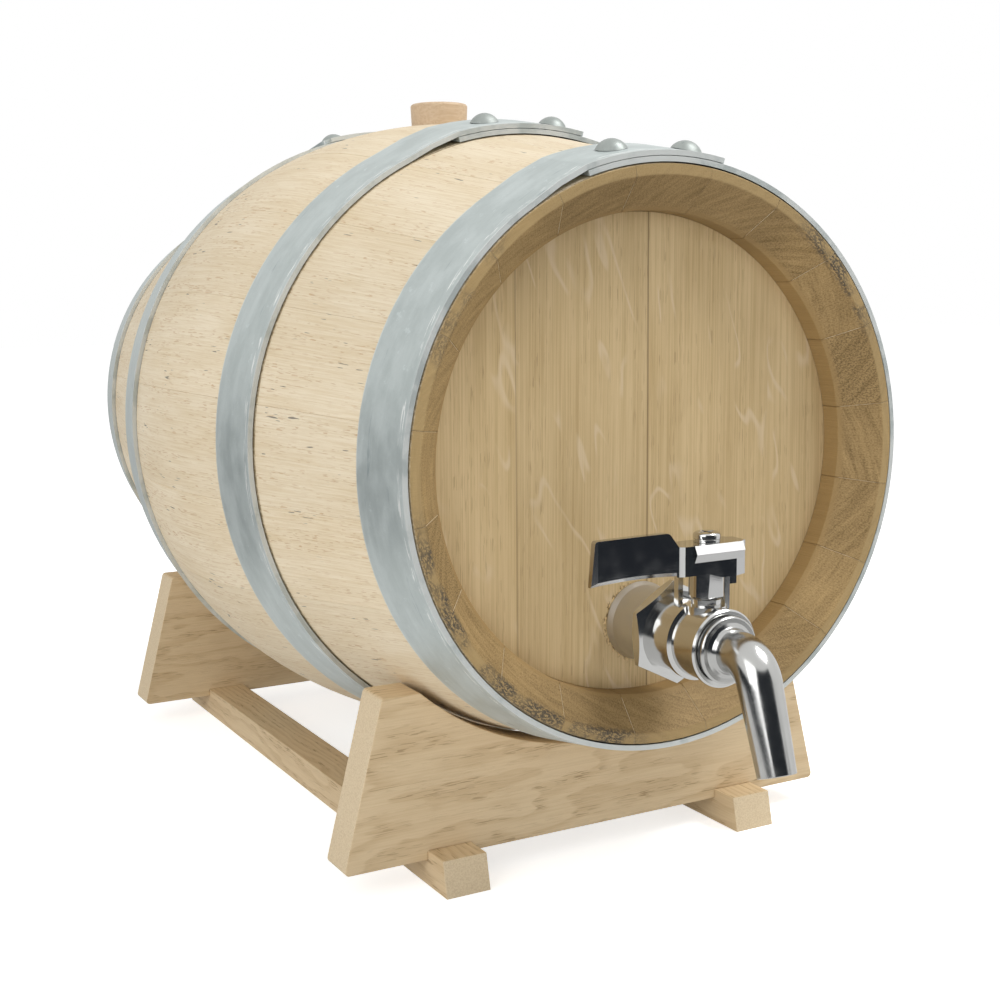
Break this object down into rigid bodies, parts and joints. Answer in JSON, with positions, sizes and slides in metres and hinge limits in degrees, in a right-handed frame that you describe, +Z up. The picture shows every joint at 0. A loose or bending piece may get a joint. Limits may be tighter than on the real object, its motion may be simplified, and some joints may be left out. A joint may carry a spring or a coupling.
{
  "type": "oak cask liquor dispenser",
  "caption": "Small oak cask lying on a wooden cradle, with steel hoops, a wooden bung on top and a lever tap with a bent spout.",
  "frame": {"origin": "on the floor under the middle of the whole object's box", "axes": "+Z up; the cask's axis along Y, with the tap and the front head towards -Y; +X to the right of someone facing the tap"},
  "size_m": [0.2108, 0.3482, 0.2402],
  "materials": {
    "cask_oak": "planed raw oak",
    "head_oak": "planed raw oak",
    "dowel_wood": "raw",
    "bung_wood": "turned raw wood",
    "cradle_oak": "sawn raw oak",
    "galvanised_steel": "galvanised",
    "zinc_plated_steel": "zinc plated",
    "polished_steel": "polished stainless",
    "white_seal": "moulded",
    "black_rubber": "moulded"
  },
  "bodies": {
    "stand": {"front_cradle_board": "cradle_oak", "back_cradle_board": "cradle_oak", "left_rail": "cradle_oak", "right_rail": "cradle_oak", "cradle_screws": "zinc_plated_steel"},
    "cask": {"bung_stave": "cask_oak", "stave_02": "cask_oak", "stave_03": "cask_oak", "stave_04": "cask_oak", "stave_05": "cask_oak", "stave_06": "cask_oak", "stave_07": "cask_oak", "stave_08": "cask_oak", "stave_09": "cask_oak", "stave_10": "cask_oak", "stave_11": "cask_oak", "stave_12": "cask_oak", "stave_13": "cask_oak", "stave_14": "cask_oak", "stave_15": "cask_oak", "stave_16": "cask_oak", "stave_17": "cask_oak", "stave_18": "cask_oak", "stave_19": "cask_oak", "stave_20": "cask_oak", "front_head_board_1": "head_oak", "front_head_board_2": "head_oak", "front_head_board_3": "head_oak", "front_head_board_4": "head_oak", "back_head_board_1": "head_oak", "back_head_board_2": "head_oak", "back_head_board_3": "head_oak", "back_head_board_4": "head_oak", "head_dowels": "dowel_wood", "front_head_hoop": "galvanised_steel", "front_bilge_hoop": "galvanised_steel", "back_bilge_hoop": "galvanised_steel", "back_head_hoop": "galvanised_steel", "hoop_rivets": "galvanised_steel", "tap_shank": "polished_steel", "tap_end_cap": "polished_steel", "tap_body": "polished_steel", "stem_packing": "white_seal", "rear_ball_seat": "white_seal", "front_ball_seat": "white_seal", "spout": "polished_steel", "spout_o_ring": "black_rubber"},
    "bung": {"bung": "bung_wood"},
    "lever": {"tap_lever": "polished_steel", "lever_lock_washer": "polished_steel", "lever_screw": "polished_steel", "valve_stem": "polished_steel", "valve_ball": "polished_steel"}
  },
  "joints": [
    {"name": "cask_lift", "type": "slide", "parent": "stand", "child": "cask", "axis": [0, 0, 1], "range_m": [0, 0.12]},
    {"name": "bung_pull", "type": "slide", "parent": "cask", "child": "bung", "axis": [0, 0, 1], "range_m": [0, 0.05]},
    {"name": "lever_turn", "type": "hinge", "parent": "cask", "child": "lever", "pos_m": [0, -0.13773, 0.1064], "axis": [0, 0, 1], "range_deg": [0, 90]}
  ]
}
